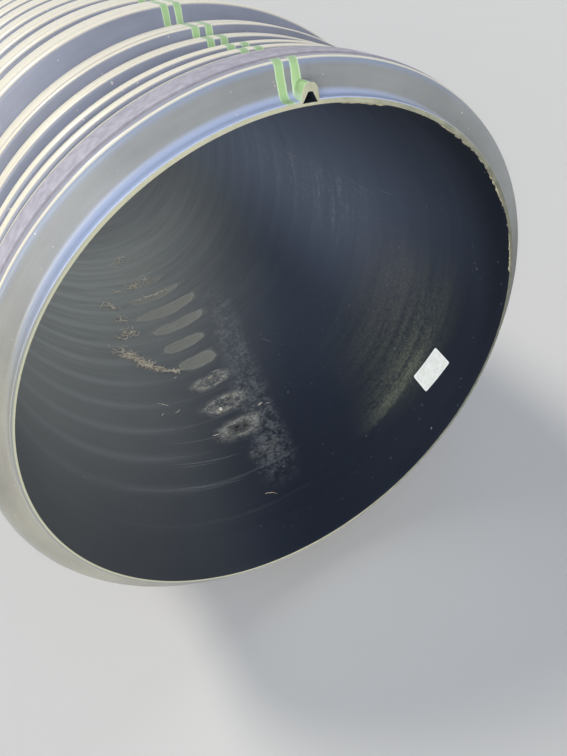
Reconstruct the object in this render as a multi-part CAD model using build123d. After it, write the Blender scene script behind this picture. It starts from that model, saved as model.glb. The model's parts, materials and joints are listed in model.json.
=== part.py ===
# Corrugated plastic culvert pipe: smooth liner, hollow ring corrugations, a spigot with narrower
# corrugations and a rubber gasket at one end, and a socket bell in line with the crests at the other.
# The pipe lies on its crests along Y, with the spigot towards -Y, and the origin is on the ground
# under the middle of its length. Sizes are in millimetres and degrees.
import os
from dataclasses import dataclass
from math import cos, floor, hypot, radians, sin, tan

from build123d import *

os.makedirs("parts", exist_ok=True)

# The stick and its walls
overall_length = 6096.0
bore_radius = 457.2
crest_height = 76.2
liner_wall = 3.2
outer_wall = 3.6

# The full corrugations
pitch = 114.0
crest_width = 72.0
side_lean = 8.0
crest_edge = 9.0
root_bevel = 4.0

# The spigot, from its cut lip to the first full crest: its widths and the gaps between its crests
spigot_drop = 28.4
spigot_lean = 5.0
narrow_edge = 5.0
narrow_bevel = 2.0
lip_front = 26.0
lip_lean = 12.0
lip_gap = 17.5
narrow_width = 19.0
narrow_gap = 21.5
middle_gap = 49.0
middle_width = 32.0
last_gap = 21.0
last_width = 52.0
last_rise = 9.5
full_gap = 69.7

# The gasket and its seat in the first spigot crest
seat_setback = 14.0
seat_width = 50.0
seat_land = 4.0
seat_depth = 12.0
gasket_clearance = 0.3
gasket_squeeze = 0.4
gasket_groove = 2.0
gasket_lip_width = 7.0

# The socket bell
socket_clearance = 2.0
mouth_clearance = 2.5
mouth_grip = 36.0
mouth_overlap = 4.0
mouth_taper = 10.0
mouth_wall = 6.0
lead_in = 4.0
rib_count = 3
rib_pitch = 22.0
rib_width = 9.0
rib_height = 6.0
rib_draft = 1.0
collar_width = 75.0
step_width = 8.0
shoulder_setback = 12.0
shoulder_length = 22.0

# The vent channel along the crown of the spigot, and the ridge that carries it over the valleys
vent_angle = 84.1
vent_width = 20.0
vent_lean = 35.0
vent_round = 2.5
vent_floor = 0.8
ridge_width = 28.0
ridge_lean = 25.0
ridge_round = 6.0

# The blank label stuck on the liner
label_angle = -31.3
label_from_lip = 116.8
label_length = 94.0
label_width = 54.0
label_tilt = 9.6
label_corner = 4.0
label_thickness = 0.4
label_gap = 0.3

# Radii that follow from those above
crest_radius = bore_radius + crest_height
liner_outside = bore_radius + liner_wall
valley_radius = liner_outside + outer_wall
spigot_radius = crest_radius - spigot_drop
last_radius = spigot_radius + last_rise
socket_radius = spigot_radius + socket_clearance
socket_outside = socket_radius + liner_wall
mouth_radius = last_radius + mouth_clearance
mouth_outside = mouth_radius + mouth_wall

# Places along the spigot, from its lip
seat_front = lip_front + seat_setback
lip_width = seat_setback + seat_width + seat_land
first_narrow_front = lip_front + lip_width + lip_gap
second_narrow_front = first_narrow_front + narrow_width + narrow_gap
middle_front = second_narrow_front + narrow_width + middle_gap
last_front = middle_front + middle_width + last_gap
first_full_front = last_front + last_width + full_gap

# The bell is deep enough for a spigot to bring its last crest into the ribbed mouth
mouth_depth = rib_count * rib_pitch - mouth_overlap
bell_length = last_front + mouth_grip + shoulder_length + shoulder_setback
bell_front = overall_length - bell_length
full_count = floor((bell_front - first_full_front) / pitch)


@dataclass
class Corner:
    """One corner of a wall's profile: radius and place along the pipe, and how it is eased."""

    radius: float
    place: float
    arc: float = 0.0
    bevel: float = 0.0

    def towards(self, other, distance):
        """The point at a distance from this corner on the line to another."""
        share = distance / hypot(other.radius - self.radius, other.place - self.place)
        return (
            self.radius + share * (other.radius - self.radius),
            self.place + share * (other.place - self.place),
        )

    def eased(self, before, after):
        """The points that replace the corner: itself, two ends of a bevel, or three of an arc."""
        if self.bevel:
            return [self.towards(before, self.bevel), self.towards(after, self.bevel)]
        if not self.arc:
            return [(self.radius, self.place)]
        near, far = self.towards(before, 1), self.towards(after, 1)
        half_chord = hypot(far[0] - near[0], far[1] - near[1]) / 2
        half_height = (1 - half_chord**2) ** 0.5
        reach = self.arc * half_height / half_chord
        middle = Corner((near[0] + far[0]) / 2, (near[1] + far[1]) / 2)
        crown = self.towards(middle, self.arc / half_chord - self.arc)
        return [self.towards(before, reach), crown, self.towards(after, reach)]


def closed_profile(corners):
    """A closed wire through a ring of corners, with their arcs and bevels."""
    groups = [
        corner.eased(corners[i - 1], corners[(i + 1) % len(corners)]) for i, corner in enumerate(corners)
    ]
    edges = []
    for group, following in zip(groups, groups[1:] + groups[:1]):
        if len(group) == 3:
            edges.append(Edge.make_three_point_arc(*group))
        elif len(group) == 2:
            edges.append(Edge.make_line(*group))
        edges.append(Edge.make_line(group[-1], following[0]))
    return Wire(edges)


@dataclass
class Crest:
    """One ring corrugation: where its flat top starts, and how its walls stand."""

    front: float
    width: float
    radius: float = crest_radius
    lean: float = side_lean
    edge: float = crest_edge
    bevel: float = root_bevel
    front_lean: float = 0.0

    def front_at(self, radius):
        """Axial place of the front wall's outside at a radius."""
        return self.front - (self.radius - radius) * tan(radians(self.front_lean or self.lean))

    def back_at(self, radius):
        """Axial place of the back wall's outside at a radius."""
        return self.front + self.width + (self.radius - radius) * tan(radians(self.lean))

    def hollow_front(self, radius):
        """Axial place of the front wall's inside at a radius."""
        return self.front_at(radius) + outer_wall / cos(radians(self.front_lean or self.lean))

    def hollow_back(self, radius):
        """Axial place of the back wall's inside at a radius."""
        return self.back_at(radius) - outer_wall / cos(radians(self.lean))

    def outline(self):
        """The outside, from foot to foot."""
        return [
            Corner(valley_radius, self.front_at(valley_radius), bevel=self.bevel),
            Corner(self.radius, self.front, arc=self.edge),
            Corner(self.radius, self.front + self.width, arc=self.edge),
            Corner(valley_radius, self.back_at(valley_radius), bevel=self.bevel),
        ]

    def hollow(self):
        """The space between the outer wall and the liner."""
        top = self.radius - outer_wall
        bend = max(self.edge - outer_wall, 0) / 2
        return [
            Corner(liner_outside, self.hollow_front(liner_outside)),
            Corner(top, self.hollow_front(top), bevel=bend),
            Corner(top, self.hollow_back(top), bevel=bend),
            Corner(liner_outside, self.hollow_back(liner_outside)),
        ]


def spigot_crest(front, width, radius=spigot_radius, front_lean=0.0):
    return Crest(front, width, radius, spigot_lean, narrow_edge, narrow_bevel, front_lean)


lip_crest = spigot_crest(lip_front, lip_width, front_lean=lip_lean)
spigot_crests = [
    spigot_crest(first_narrow_front, narrow_width),
    spigot_crest(second_narrow_front, narrow_width),
    spigot_crest(middle_front, middle_width),
    spigot_crest(last_front, last_width, last_radius),
]
full_crests = [Crest(first_full_front + i * pitch, crest_width) for i in range(full_count)]

# The bell's outside is a long band at the crests' radius, a narrow step, a collar and a ribbed mouth
collar_front = overall_length - rib_count * rib_pitch - collar_width
band = Crest(bell_front, collar_front - step_width - bell_front)
collar = Crest(collar_front, collar_width)


def lip_outline():
    """The first spigot crest, with the gasket's seat cut into its top."""
    front_foot, front, back, back_foot = lip_crest.outline()
    front.arc = crest_edge
    seat_floor = spigot_radius - seat_depth
    seat_back = seat_front + seat_width
    back.arc = (back.place - seat_back) / 3
    seat = [
        Corner(spigot_radius, seat_front),
        Corner(seat_floor, seat_front),
        Corner(seat_floor, seat_back),
        Corner(spigot_radius, seat_back),
    ]
    return [front_foot, front] + seat + [back, back_foot]


def lip_hollow():
    """The first spigot crest's hollow, which steps down under the gasket's seat."""
    top = spigot_radius - outer_wall
    under_seat = top - seat_depth
    step = seat_front - outer_wall
    return [
        Corner(liner_outside, lip_crest.hollow_front(liner_outside)),
        Corner(top, lip_crest.hollow_front(top), bevel=(crest_edge - outer_wall) / 2),
        Corner(top, step),
        Corner(under_seat, step),
        Corner(under_seat, lip_crest.hollow_back(under_seat)),
        Corner(liner_outside, lip_crest.hollow_back(liner_outside)),
    ]


def bell_outline():
    """The bell's outside: the band, the narrow step, the collar and the ribs of the mouth."""
    step_floor = socket_outside + outer_wall
    band_foot, band_crest, band_end, _ = band.outline()
    _, collar_crest, collar_end, _ = collar.outline()
    band_end.arc = collar_crest.arc = rib_draft
    corners = [
        band_foot,
        band_crest,
        band_end,
        Corner(step_floor, band_end.place + rib_draft),
        Corner(step_floor, collar_crest.place - rib_draft),
        collar_crest,
        collar_end,
        Corner(mouth_outside, collar.back_at(mouth_outside)),
    ]
    for i in range(rib_count):
        rib_back = overall_length - (rib_count - 1 - i) * rib_pitch
        rib_front = rib_back - rib_width
        corners += [
            Corner(mouth_outside, rib_front - rib_draft),
            Corner(mouth_outside + rib_height, rib_front, arc=rib_draft),
            Corner(mouth_outside + rib_height, rib_back, arc=rib_draft),
        ]
        if i < rib_count - 1:
            corners.append(Corner(mouth_outside, rib_back + rib_draft))
    return corners


def socket_outline():
    """The inside, from the mouth over the shoulder to the bore and back to the lip."""
    taper_back = overall_length - mouth_depth
    shoulder_front = bell_front + shoulder_setback
    return [
        Corner(mouth_radius + lead_in, overall_length),
        Corner(mouth_radius, overall_length - 2 * lead_in),
        Corner(mouth_radius, taper_back),
        Corner(socket_radius, taper_back - mouth_taper),
        Corner(socket_radius, shoulder_front + shoulder_length),
        Corner(bore_radius, shoulder_front),
        Corner(bore_radius, 0),
    ]


def band_hollow():
    """The bell's long hollow, over the shoulder and the socket wall."""
    top = crest_radius - outer_wall
    slope = shoulder_length / (socket_radius - bore_radius)
    shoulder_outside = bell_front + shoulder_setback - liner_wall * hypot(1, slope)
    back = band.front + band.width - outer_wall
    return [
        Corner(liner_outside, band.hollow_front(liner_outside)),
        Corner(top, band.hollow_front(top), bevel=(crest_edge - outer_wall) / 2),
        Corner(top, back),
        Corner(socket_outside, back),
        Corner(socket_outside, shoulder_outside + slope * (socket_outside - bore_radius)),
        Corner(liner_outside, shoulder_outside + slope * liner_wall),
    ]


def collar_hollow():
    """The collar's hollow, which ends before the socket widens to its mouth."""
    top = crest_radius - outer_wall
    front = collar.front + outer_wall
    return [
        Corner(socket_outside, front),
        Corner(top, front),
        Corner(top, collar.hollow_back(top), bevel=(crest_edge - outer_wall) / 2),
        Corner(socket_outside, overall_length - mouth_depth - mouth_taper - outer_wall),
    ]


def turned_wall():
    """The wall without its vent: one turned section with the hollows of all the corrugations."""
    outside = [Corner(valley_radius, 0)] + lip_outline()
    for crest in spigot_crests + full_crests:
        outside += crest.outline()
    skin = closed_profile(outside + bell_outline() + socket_outline())
    spaces = [crest.hollow() for crest in spigot_crests + full_crests]
    spaces += [lip_hollow(), band_hollow(), collar_hollow()]
    section = Face(skin, [closed_profile(space) for space in spaces])
    return revolve(section, axis=Axis.Y)


def vent_bar(width, lean, top_round, bottom, start, end):
    """A bar along the crown with leaning sides and a round top, from start to end along the pipe."""
    half = width / 2
    sideways, upright = sin(radians(lean)), cos(radians(lean))
    centre = bottom + (half * upright - top_round) / sideways
    spring = (top_round * upright, centre + top_round * sideways)
    foot = Polyline((-spring[0], spring[1]), (-half, bottom), (half, bottom), spring)
    arch = ThreePointArc(spring, (0, centre + top_round), (-spring[0], spring[1]))
    section = Rot(X=90) * make_face(foot + arch)
    bar = Pos(0, start, 0) * extrude(section, amount=end - start, dir=(0, 1, 0))
    return Rot(Y=vent_angle - 90) * bar


def pipe_wall():
    """The one-piece wall, with the vent channel bridging the valleys of the spigot."""
    ridge_foot = bore_radius + liner_wall / 2
    ridge = vent_bar(ridge_width, ridge_lean, ridge_round, ridge_foot, 0, first_full_front)
    channel_foot = liner_outside + vent_floor
    channel = vent_bar(vent_width, vent_lean, vent_round, channel_foot, -1, first_full_front)
    spaces = [lip_hollow()] + [crest.hollow() for crest in spigot_crests + full_crests[:1]]
    bridges = ridge - [revolve(make_face(closed_profile(space)), axis=Axis.Y) for space in spaces]
    return turned_wall() + bridges - channel


def spigot_gasket():
    """The rubber ring: a flat band with a thin groove and a low lip behind it."""
    bottom = spigot_radius - seat_depth + gasket_clearance
    top = socket_radius + gasket_squeeze
    front = seat_front + gasket_clearance
    back = seat_front + seat_width - gasket_clearance
    groove_back = back - gasket_lip_width
    groove_front = groove_back - gasket_groove
    low = top - gasket_groove
    lip_top = top - gasket_groove / 2
    points = [
        (bottom, front),
        (low, front),
        (top, front + 2 * gasket_groove),
        (top, groove_front),
        (low, groove_front),
        (low, groove_back),
        (lip_top, groove_back),
        (lip_top, back - gasket_groove),
        (low, back),
        (bottom, back),
    ]
    return revolve(make_face(Polyline(*points, close=True)), axis=Axis.Y)


def pipe_label():
    """A thin curved rectangle with round corners, tilted as it was stuck on."""
    outer = bore_radius - label_gap
    plate = RectangleRounded(label_length, label_width, label_corner)
    reach = 2 * label_length
    tool = Pos(0, 0, outer - reach / 2) * extrude(Rot(Z=label_tilt) * plate, amount=reach)
    skin = Cylinder(outer, reach) - Cylinder(outer - label_thickness, reach)
    patch = (Rot(X=90) * skin) & tool
    return Pos(0, label_from_lip, 0) * Rot(Y=90 - label_angle) * patch


# The pipe is turned about the Y axis and then set down on its crests
stand = Pos(0, -overall_length / 2, crest_radius)
nodes = {
    "pipe_wall": pipe_wall(),
    "spigot_gasket": spigot_gasket(),
    "pipe_label": pipe_label(),
}
for name, shape in nodes.items():
    placed = stand * shape
    placed.label = name
    export_step(placed, f"parts/{name}.step")
    print(name, round(placed.volume / 1e6, 3), "litres", placed.bounding_box())
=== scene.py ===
"""A corrugated plastic culvert pipe, lying on its crests, seen at its spigot end."""
import json
from math import acos, ceil, cos, pi, radians, sin, tan

import bpy
import numpy as np
from mathutils import Euler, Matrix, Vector, noise


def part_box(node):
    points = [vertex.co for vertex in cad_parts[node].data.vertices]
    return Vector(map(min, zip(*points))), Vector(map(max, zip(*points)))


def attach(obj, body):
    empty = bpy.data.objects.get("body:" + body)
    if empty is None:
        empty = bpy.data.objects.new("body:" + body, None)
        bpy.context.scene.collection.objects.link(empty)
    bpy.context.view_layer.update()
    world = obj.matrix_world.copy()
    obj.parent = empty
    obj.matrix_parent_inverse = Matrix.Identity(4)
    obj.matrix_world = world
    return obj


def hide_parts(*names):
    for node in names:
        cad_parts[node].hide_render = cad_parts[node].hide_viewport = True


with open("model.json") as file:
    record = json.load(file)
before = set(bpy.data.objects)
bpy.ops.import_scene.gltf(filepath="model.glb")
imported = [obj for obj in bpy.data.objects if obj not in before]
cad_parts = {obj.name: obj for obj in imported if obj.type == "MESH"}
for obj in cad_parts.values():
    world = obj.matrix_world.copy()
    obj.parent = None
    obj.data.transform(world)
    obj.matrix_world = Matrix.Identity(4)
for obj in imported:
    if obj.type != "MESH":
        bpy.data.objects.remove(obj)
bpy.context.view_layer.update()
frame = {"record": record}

# The barrel
# One stick of dual-wall pipe: black polyethylene, a smooth liner extruded inside and, fused to it,
# an outer wall that travelling mould blocks suck out into hollow ring corrugations. Each crest
# carries the fine line of the mould's vacuum slot, and the liner sags a little under each hollow.
MM = 0.001
wall_low, wall_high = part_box("pipe_wall")
LIP = wall_low[1]
MOUTH = wall_high[1]
AXIS_HEIGHT = (wall_low[2] + wall_high[2]) / 2
CREST_RADIUS = (wall_high[2] - wall_low[2]) / 2
BORE_RADIUS = 457.2 * MM
VALLEY_RADIUS = 464 * MM
PITCH = 114 * MM
CREST_WIDTH = 72 * MM
SIDE_LEAN = 8
CREST_ROUND = 9 * MM
ROOT_ROUND = 7 * MM
FIRST_FULL_FRONT = 394.7 * MM
CREST_CENTRE = FIRST_FULL_FRONT + CREST_WIDTH / 2
BELL_LENGTH = 343 * MM
SLOT_LINE_SHARE = 0.3
SLOT_LINE_WIDTH = 2.2 * MM
SLOT_LINE_DEPTH = 0.5 * MM
LINER_SAG = 0.5 * MM
SAG_SLOPE = 20 * MM
BARREL_SECTIONS = 4
BARREL_SIDES = 200
ARC_STEP = radians(17)
SHARP_ANGLE = radians(38)
OUTSIDE, LINER, CUT = range(3)

pipe_length = MOUTH - LIP
bell_front = pipe_length - BELL_LENGTH
full_count = int((bell_front - FIRST_FULL_FRONT) / PITCH)


class Signal:
    """An output of a shader node. Arithmetic on it adds Math nodes to the same material."""

    def __init__(self, tree, output=None):
        self.tree = tree
        self.output = output

    def node(self, kind, settings, inputs, output=0):
        """Adds a node, sets it, and feeds its sockets with values or other signals."""
        added = self.tree.nodes.new(kind)
        for key, value in settings.items():
            setattr(added, key, value)
        for key, value in inputs.items():
            if isinstance(value, Signal):
                self.tree.links.new(value.output, added.inputs[key])
            else:
                added.inputs[key].default_value = value
        return Signal(self.tree, added.outputs[output] if added.outputs else None)

    def other(self, output):
        """Another output of the same node."""
        return Signal(self.tree, self.output.node.outputs[output])

    def math(self, operation, *values):
        return self.node("ShaderNodeMath", {"operation": operation}, dict(enumerate(values)))

    def __add__(self, other):
        return self.math("ADD", self, other)

    def __sub__(self, other):
        return self.math("SUBTRACT", self, other)

    def __rsub__(self, other):
        return self.math("SUBTRACT", other, self)

    def __mul__(self, other):
        return self.math("MULTIPLY", self, other)

    def __truediv__(self, other):
        return self.math("DIVIDE", self, other)

    def __rtruediv__(self, other):
        return self.math("DIVIDE", other, self)

    __radd__ = __add__
    __rmul__ = __mul__

    def size(self):
        """The value without its sign."""
        return self.math("ABSOLUTE", self)

    def rise(self, low, high):
        """0 below low and 1 above high, or the other way round, and smooth between them."""
        ends = {0: self, 1: low, 2: high, 3: 0.0, 4: 1.0}
        return self.node("ShaderNodeMapRange", {"interpolation_type": "SMOOTHSTEP"}, ends)

    def near(self, place, far, close):
        """1 up to the close distance from a place and 0 beyond the far one."""
        return (self - place).size().rise(far, close)

    def tint(self, plain, covered):
        """The plain colour where this mask is 0 and the covered one where it is 1."""
        colours = {0: self, 6: plain, 7: covered}
        return self.node("ShaderNodeMix", {"data_type": "RGBA"}, colours, 2)

    def clouds(self, scale, detail=3.0, roughness=0.55):
        """Cloudy values over this vector."""
        inputs = {"Vector": self, "Scale": scale, "Detail": detail, "Roughness": roughness}
        return self.node("ShaderNodeTexNoise", {}, inputs)


def shade(red, green, blue):
    """A colour from the values 0 to 255 that a screen shows."""
    shares = [value / 255 for value in (red, green, blue)]
    light = [s / 12.92 if s <= 0.04045 else ((s + 0.055) / 1.055) ** 2.4 for s in shares]
    return (*light, 1.0)


def new_material(name):
    """An empty material, and the signal that its nodes start from."""
    material = bpy.data.materials.new(name)
    material.use_nodes = True
    material.node_tree.nodes.clear()
    return material, Signal(material.node_tree)


def finish_material(start, base, roughness, height=None, cover=None, **constants):
    """The Principled shader, with a bump from a height in metres and a cover share if given."""
    inputs = {"Base Color": base, "Roughness": roughness}
    if cover:
        inputs["Alpha"] = cover
    inputs.update({name.replace("_", " "): value for name, value in constants.items()})
    if height:
        inputs["Normal"] = start.node("ShaderNodeBump", {}, {"Height": height, "Distance": 1.0})
    shader = start.node("ShaderNodeBsdfPrincipled", {}, inputs)
    start.node("ShaderNodeOutputMaterial", {}, {"Surface": shader})


def object_position(start):
    """The place on the surface, in metres."""
    return start.node("ShaderNodeTexCoord", {}, {}, "Object")


def round_the_pipe(start):
    """Position, distance right of the axis, radius, angle, depth from the lip and ring vector."""
    position = object_position(start)
    right = start.node("ShaderNodeSeparateXYZ", {}, {"Vector": position}, "X")
    along = right.other("Y")
    up = right.other("Z") - AXIS_HEIGHT
    radius = start.math("SQRT", right * right + up * up)
    angle = start.math("ARCTAN2", up, right)
    stretched = {"X": right / radius * 0.35, "Y": along * 9 + radius * 4, "Z": up / radius * 0.35}
    ring = start.node("ShaderNodeCombineXYZ", {}, stretched)
    return position, right, radius, angle, along - LIP, ring


def toward(start, angle, degrees, low, high):
    """1 on the side of the pipe that lies at these degrees, and 0 away from it."""
    return start.math("COSINE", angle - radians(degrees)).rise(low, high)


CLEAN_BLACK = shade(40, 42, 48)
WALL_WARM = shade(133, 136, 137)
WALL_LIT_BEIGE = shade(152, 150, 139)
WALL_SKY_REFLECTION = shade(130, 135, 152)
RIM_SKY_REFLECTION = shade(128, 146, 178)
WALL_PAINTED_SHADE = shade(66, 70, 65)
ROOT_SKY_REFLECTION = shade(168, 182, 214)
ROOT_LIT_GREY = shade(152, 152, 146)
CREST_DUST_AND_HIGHLIGHT = shade(240, 232, 208)
LAND_LILAC = shade(152, 152, 164)
SOIL = shade(104, 88, 66)
SPLASH_HEIGHT = 0.16
LINE_GREEN = shade(152, 186, 130)
LINE_EDGE = shade(194, 214, 184)
LINE_ANGLES = (87.35, 85.0)
LINE_HALF = 6.2 * MM
FRONT_WALL_TOP = 505 * MM
FRONT_WALL_BACK = 32 * MM
SLEEVE_BACK = 16 * MM
SEAT_BACK = 90 * MM

outside_finish, start = new_material("polyethylene_outside")
position, right, radius, angle, depth, ring = round_the_pipe(start)
height = right.other("Z")
normal = start.node("ShaderNodeNewGeometry", {}, {}, "Normal")
lean = start.node("ShaderNodeSeparateXYZ", {}, {"Vector": normal}, "X")
facing_out = (lean * right + lean.other("Z") * (height - AXIS_HEIGHT)) / radius
streaks = ring.clouds(6.0, 4.0, 0.6)
blotches = position.clouds(9.0, 4.0, 0.6)
grain = position.clouds(420.0, 2.0, 0.5)
specks = position.clouds(130.0, 1.0, 0.5).rise(0.76, 0.80)
on_left = toward(start, angle, 182, 0.5, 0.97)
on_crown = toward(start, angle, 98, 0.58, 0.96)
upper_left = toward(start, angle, 120, -0.15, 0.45)
on_right = toward(start, angle, -25, 0.55, 0.95)

front_wall = depth.rise(FRONT_WALL_BACK, FRONT_WALL_BACK - 6 * MM)
# The front wall is painted lighter and warmer on the left, where the light falls, and the walls
# behind it a bluish grey: a painted reflection of the sky.
wall_colour_and_light = front_wall.tint(WALL_SKY_REFLECTION, on_left.tint(WALL_WARM, WALL_LIT_BEIGE))
# The grey bloom over the black plastic is partly dust and partly a painted sheen for the light that
# the plastic reflects.
dust_and_sheen = streaks.rise(0.2, 0.75) * 0.22 + blotches.rise(0.25, 0.7) * 0.16 + 0.66
base = dust_and_sheen.tint(CLEAN_BLACK, wall_colour_and_light)
# The right side of the front wall is painted darker: painted shade.
base = (front_wall * on_right * 0.85).tint(base, WALL_PAINTED_SHADE)
# A blue band along the front wall's outer rim, mostly at the crown and upper left: a painted
# reflection of the sky.
rim = front_wall * radius.rise(FRONT_WALL_TOP - 12 * MM, FRONT_WALL_TOP - 3 * MM)
base = (rim * (0.3 + on_crown * 0.7) * upper_left * 0.6).tint(base, RIM_SKY_REFLECTION)
# The valley roots and the flat sleeve at the lip are painted light: a painted reflection of the
# sky, blue at the crown and on the valleys behind, grey on the sides of the front wall.
root_top = on_crown * 5 * MM + (VALLEY_RADIUS + 4.5 * MM)
root = radius.rise(root_top, VALLEY_RADIUS + 1.5 * MM)
sleeve = depth.rise(SLEEVE_BACK, SLEEVE_BACK / 2)
sleeve = sleeve * radius.rise(VALLEY_RADIUS + 4 * MM, VALLEY_RADIUS + 1 * MM)
root_reflection = (root * (0.6 + front_wall * 0.2) + sleeve * 0.2) * upper_left
root_reflection_colour = (on_crown + (1 - front_wall)).tint(ROOT_LIT_GREY, ROOT_SKY_REFLECTION)
base = root_reflection.tint(base, root_reflection_colour)

crest_top = radius.rise(VALLEY_RADIUS + 16 * MM, VALLEY_RADIUS + 30 * MM)
crest_top = facing_out.rise(0.45, 0.96) * crest_top
lip_land = depth.rise(FRONT_WALL_BACK - 3 * MM, FRONT_WALL_BACK - 1 * MM)
lip_land = lip_land * depth.rise(SEAT_BACK, SEAT_BACK - 1 * MM)
behind_edge = depth.rise(FRONT_WALL_BACK - 6 * MM, FRONT_WALL_BACK - 4.6 * MM)
# The tops of the upper crests are painted pale cream: partly dust and partly a painted highlight
# where the light falls on them.
crest_dust_and_highlight = crest_top * (0.8 + grain * 0.25) * height.rise(0.3, 0.85)
base = (crest_dust_and_highlight * (1 - lip_land) * behind_edge).tint(base, CREST_DUST_AND_HIGHLIGHT)
base = (lip_land * (0.75 + blotches * 0.25)).tint(base, LAND_LILAC)
base = (specks * 0.4).tint(base, CREST_DUST_AND_HIGHLIGHT)
splash = (height + (blotches - 0.5) * 0.12).rise(SPLASH_HEIGHT, 0.02)
base = (splash * 0.8).tint(base, SOIL)

ragged = (position.clouds(60.0, 3.0) - 0.5) * 2.4 * MM
line, line_edge = 0.0, 0.0
for line_angle in LINE_ANGLES:
    aside = ((angle - radians(line_angle)) * radius).size() + ragged
    painted = aside.rise(LINE_HALF, LINE_HALF - 0.7 * MM)
    edge = painted * aside.rise(LINE_HALF - 2.6 * MM, LINE_HALF - 0.8 * MM)
    line = start.math("MAXIMUM", line, painted)
    line_edge = start.math("MAXIMUM", line_edge, edge)
wear = 1.0 - position.clouds(35.0, 5.0, 0.7).rise(0.60, 0.72) * 0.6
base = (line * wear * 0.95).tint(base, LINE_GREEN)
base = (line_edge * wear * 0.8).tint(base, LINE_EDGE)
roughness = 0.40 - crest_top * 0.1 + splash * 0.3 + (streaks - 0.5) * 0.2
relief = grain * 0.12 * MM + streaks * 0.25 * MM
finish_material(start, base, roughness, relief, IOR=1.5, Coat_Weight=0.25, Coat_Roughness=0.2)

LINER_NAVY = shade(47, 54, 68)
LINER_DARK = shade(40, 46, 58)
LINER_PAINTED_SHADE = shade(26, 32, 44)
LINER_SHEEN_AND_DUST = shade(148, 151, 147)
LINER_CROWN_SHEEN = shade(138, 150, 176)
DUST_OLIVE = shade(112, 117, 100)
DUST_BROWN = shade(122, 112, 106)
DUST_PALE = shade(158, 161, 164)
DUST_FRONT = 105 * MM
DUST_LINE_ANGLE = 11
WASH_FADES, WASH_ENDS = 2.1, 3.0
SEAM_OFFSET = 2.2 * MM
# Each scratch runs from one (angle in degrees, depth in metres) to another, with a half width
SCRATCHES = (
    ((-119, 0.430), (-97, 0.418), 1.6 * MM),
    ((-123, 0.351), (-95, 0.332), 2.0 * MM),
    ((-122, 0.338), (-104, 0.330), 1.2 * MM),
    ((-125, 0.268), (-99, 0.246), 1.6 * MM),
    ((-124, 0.254), (-106, 0.247), 1.0 * MM),
    ((9.0, 0.400), (10.5, 0.570), 0.9 * MM),
    ((6.5, 0.455), (8.0, 0.530), 0.7 * MM),
    ((13.0, 0.330), (12.0, 0.410), 0.7 * MM),
    ((-62.0, 0.640), (-64.5, 0.690), 0.9 * MM),
)

liner_finish, start = new_material("polyethylene_liner")
position, right, _, angle, depth, ring = round_the_pipe(start)
streaks = ring.clouds(7.0, 4.0, 0.6)
blotches = position.clouds(3.2, 4.0, 0.6)
fine = position.clouds(110.0, 4.0, 0.7)
grit = position.clouds(340.0, 3.0, 0.7)
spots = position.clouds(38.0, 4.0, 0.7)
specks = position.clouds(150.0, 1.0, 0.5).rise(0.76, 0.82)

washed_end = depth.rise(WASH_ENDS, WASH_FADES)
# The liner is painted lighter grey towards the left and further in: partly dust and partly a
# painted sheen for the light that it reflects at a glance.
sheen_and_dust_side = (right * -1 + depth * 0.55 + (blotches - 0.5) * 0.12).rise(0.0, 1.1)
sheen_and_dust_side = sheen_and_dust_side * (1 - depth.rise(1.5, 2.0) * 0.4) * (washed_end * 0.75 + 0.25)
base = ((streaks - 0.5).size() * 1.2).tint(LINER_NAVY, LINER_DARK)
base = sheen_and_dust_side.tint(base, LINER_SHEEN_AND_DUST)
# Near the lip on the right and low on the right side the liner is painted darker: painted shade.
shaded_side = toward(start, angle, -50, 0.35, 0.9) * depth.rise(0.9, 0.12)
shaded_lip = depth.rise(0.13, 0.02) * right.rise(0.0, 0.25)
base = start.math("MAXIMUM", shaded_lip, shaded_side * 0.9).tint(base, LINER_PAINTED_SHADE)
# Up on the right towards the crown and further in, the liner is painted a lighter blue grey: a
# painted reflection of light.
crown_sheen = start.math("MINIMUM", (depth - 0.1) / 0.95, 1.0)
crown_sheen = start.math("MAXIMUM", toward(start, angle, 60, -0.2, 0.7) * crown_sheen, 0.0)
base = (crown_sheen * (0.4 + streaks * 0.2)).tint(base, LINER_CROWN_SHEEN)

line_dust = angle.rise(radians(DUST_LINE_ANGLE), radians(DUST_LINE_ANGLE - 2.5))
line_dust = line_dust * angle.rise(radians(-24), radians(9))
line_dust = line_dust * depth.rise(0.38, 0.7) * depth.rise(1.4, 1.0)
line_dust = line_dust * (streaks * 0.5 + fine * 0.7 + spots * 0.5).rise(0.84, 1.12)
base = (line_dust * 0.55).tint(base, DUST_PALE)
dust_band = depth.rise(DUST_FRONT - 20 * MM, DUST_FRONT + 70 * MM) * depth.rise(0.6, 0.2)
dust_edge = (depth + (spots - 0.5) * 0.02).rise(0.148, 0.158) * depth.rise(0.26, 0.17)
dust = dust_band * angle.near(-0.45, 0.62, 0.12) * 0.6
dust = dust + dust_edge * angle.near(-0.72, 0.42, 0.1) * 0.8
dust = dust * (grit * 0.6 + fine * 0.5 + streaks * 0.4).rise(0.55, 1.0)
base = (dust * 0.62).tint(base, DUST_OLIVE)
brown = dust_band * angle.near(-0.28, 0.4, 0.1) * depth.rise(0.2, 0.33)
base = (brown * grit.rise(0.4, 0.65) * 0.22).tint(base, DUST_BROWN)
from_invert = (angle + pi / 2) * BORE_RADIUS
low_dust = (from_invert - depth * 0.22).near(-0.045, 0.075, 0.015)
low_dust = low_dust * depth.rise(0.16, 0.30) * depth.rise(1.2, 0.85)
low_dust = low_dust * (spots * 0.6 + fine * 0.7).rise(0.55, 0.80)
base = (low_dust * 0.31).tint(base, DUST_PALE)

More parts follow.
